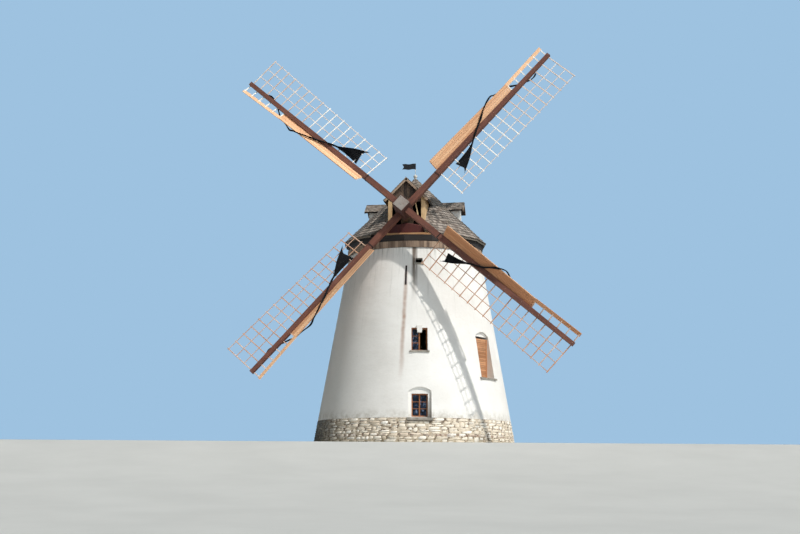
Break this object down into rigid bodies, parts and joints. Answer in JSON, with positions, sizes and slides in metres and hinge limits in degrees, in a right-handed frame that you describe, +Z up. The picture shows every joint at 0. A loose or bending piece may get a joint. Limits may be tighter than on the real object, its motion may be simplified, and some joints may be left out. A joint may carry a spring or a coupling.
{
  "type": "traditional windmill",
  "caption": "Round white tower windmill on a rubble plinth, with a shingled cap that turns to the wind, lattice sails on a tilted windshaft and a weather vane.",
  "frame": {"origin": "on the tower's axis, on the ground that the plinth stands on", "axes": "+Z up along the tower's axis; the sails face -Y; +X is to the right of someone who looks at the sails"},
  "size_m": [17.6568, 10.8484, 20.3989],
  "materials": {
    "rubble_stone": "rough",
    "lime_render": "matte",
    "floor_stone": "matte",
    "floor_boards": "matte",
    "grey_boards": "matte",
    "window_joinery": "satin",
    "window_glass": "gloss",
    "brown_boards": "matte",
    "rusty_iron": "matte",
    "old_timber": "matte",
    "dark_trim": "matte",
    "light_timber": "matte",
    "pale_boards": "matte",
    "red_brown_boards": "matte",
    "wood_shingles": "matte",
    "white_painted_metal": "satin",
    "grey_painted_iron": "matte",
    "stock_timber": "matte",
    "lattice_timber": "matte",
    "board_timber": "matte",
    "black_sailcloth": "matte",
    "dark_sheet_metal": "satin"
  },
  "bodies": {
    "tower": {"plinth_1": "rubble_stone", "plinth_2": "rubble_stone", "plinth_3": "rubble_stone", "plinth_4": "rubble_stone", "wall_1": "lime_render", "wall_2": "lime_render", "wall_3": "lime_render", "wall_4": "lime_render", "wall_5": "lime_render", "wall_6": "lime_render", "ground_floor": "floor_stone", "upper_floors": "floor_boards", "curb_ring": "grey_boards", "window_frames": "window_joinery", "window_panes": "window_glass", "sills_and_keystones": "lime_render", "loading_shutter": "brown_boards", "entrance_door": "brown_boards", "wall_anchor": "rusty_iron"},
    "cap": {"cap_ring": "old_timber", "sheer_beams": "old_timber", "breast_beam": "old_timber", "tail_beam": "old_timber", "roof_front_right": "wood_shingles", "roof_front_left": "wood_shingles", "roof_rear_right": "wood_shingles", "roof_rear_left": "wood_shingles", "eave_boards": "dark_trim", "verge_boards": "light_timber", "front_sill": "light_timber", "front_wall": "pale_boards", "front_panel": "red_brown_boards", "hood_roof": "wood_shingles", "hood_frame": "light_timber", "hood_gable": "grey_boards", "dormer_walls": "lime_render", "dormer_roofs": "wood_shingles", "finial": "white_painted_metal"},
    "sails": {"windshaft": "old_timber", "poll_end": "grey_painted_iron", "stock_front": "stock_timber", "stock_rear": "stock_timber", "sail_lattices": "lattice_timber", "leading_boards": "board_timber", "sailcloths": "black_sailcloth"},
    "vane": {"vane": "dark_sheet_metal"}
  },
  "joints": [
    {"name": "cap_turn", "type": "hinge", "parent": "tower", "child": "cap", "pos_m": [0, 0, 10.13], "axis": [0, 0, 1], "continuous": true},
    {"name": "sails_turn", "type": "hinge", "parent": "cap", "child": "sails", "pos_m": [0, -4.15, 11.75], "axis": [0, -0.9848, 0.1736], "continuous": true},
    {"name": "vane_turn", "type": "hinge", "parent": "cap", "child": "vane", "pos_m": [0, 0, 14.7], "axis": [0, 0, 1], "continuous": true}
  ]
}
